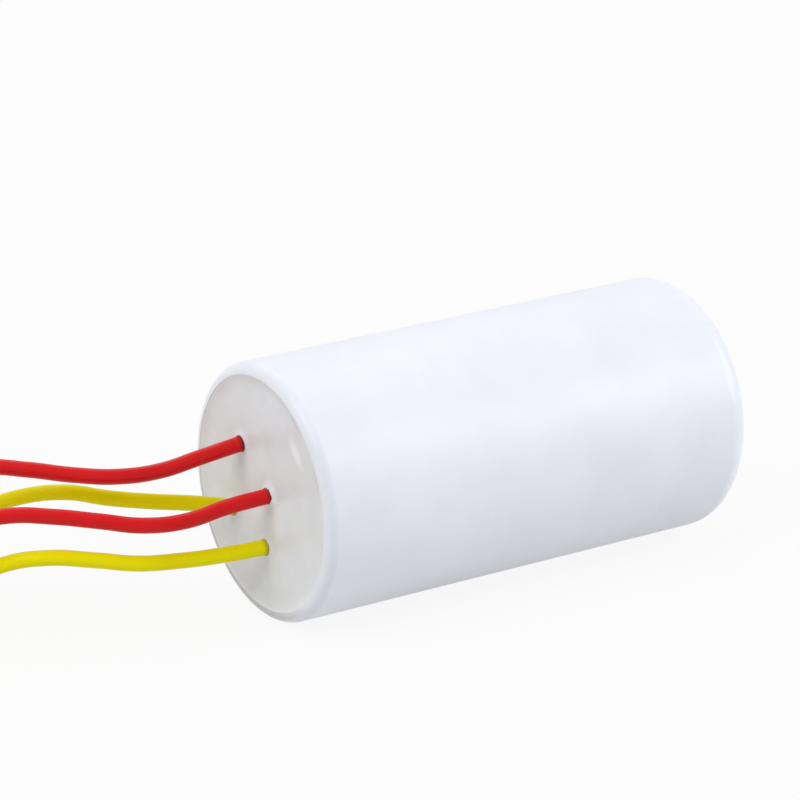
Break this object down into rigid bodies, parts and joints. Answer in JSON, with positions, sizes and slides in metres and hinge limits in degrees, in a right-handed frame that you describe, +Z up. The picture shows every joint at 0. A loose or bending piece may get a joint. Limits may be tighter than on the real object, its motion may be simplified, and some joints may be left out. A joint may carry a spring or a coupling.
{
  "type": "motor run capacitor",
  "caption": "Round white plastic capacitor can with rounded closed end, resin-filled open end and insulated red and yellow leads with stripped tips.",
  "frame": {"origin": "on the floor, under the middle of the can, which lies on its side", "axes": "+X along the can's axis toward the closed end, +Z up, the leads leave toward -X"},
  "size_m": [0.2192, 0.0635, 0.045],
  "materials": {
    "case": "smooth moulded polypropylene, satin gloss",
    "resin": "poured milky resin, glossy",
    "core": "extruded plastic",
    "film": "metallised film, silvery",
    "wrap": "clear film",
    "zinc": "rough sprayed zinc",
    "red_pvc": "soft PVC, satin",
    "yellow_pvc": "soft PVC, satin",
    "tinned_copper": "tinned strands",
    "copper": "bare copper strands",
    "solder": "solidified solder"
  },
  "bodies": {
    "root": {"case": "case", "potting_resin": "resin", "winding_core": "core", "film_winding": "film", "winding_wrap": "wrap", "front_end_spray": "zinc", "rear_end_spray": "zinc", "red_lead_a": "red_pvc", "red_lead_b": "red_pvc", "yellow_lead_a": "yellow_pvc", "yellow_lead_b": "yellow_pvc", "red_root_a": "red_pvc", "red_root_b": "red_pvc", "yellow_root_a": "yellow_pvc", "yellow_root_b": "yellow_pvc", "red_tip_a": "tinned_copper", "red_tip_b": "tinned_copper", "yellow_tip_a": "tinned_copper", "yellow_tip_b": "tinned_copper", "red_conductor_a": "copper", "red_conductor_b": "copper", "yellow_conductor_a": "copper", "yellow_conductor_b": "copper", "red_solder_a": "solder", "red_solder_b": "solder", "yellow_solder_a": "solder", "yellow_solder_b": "solder"}
  },
  "joints": []
}
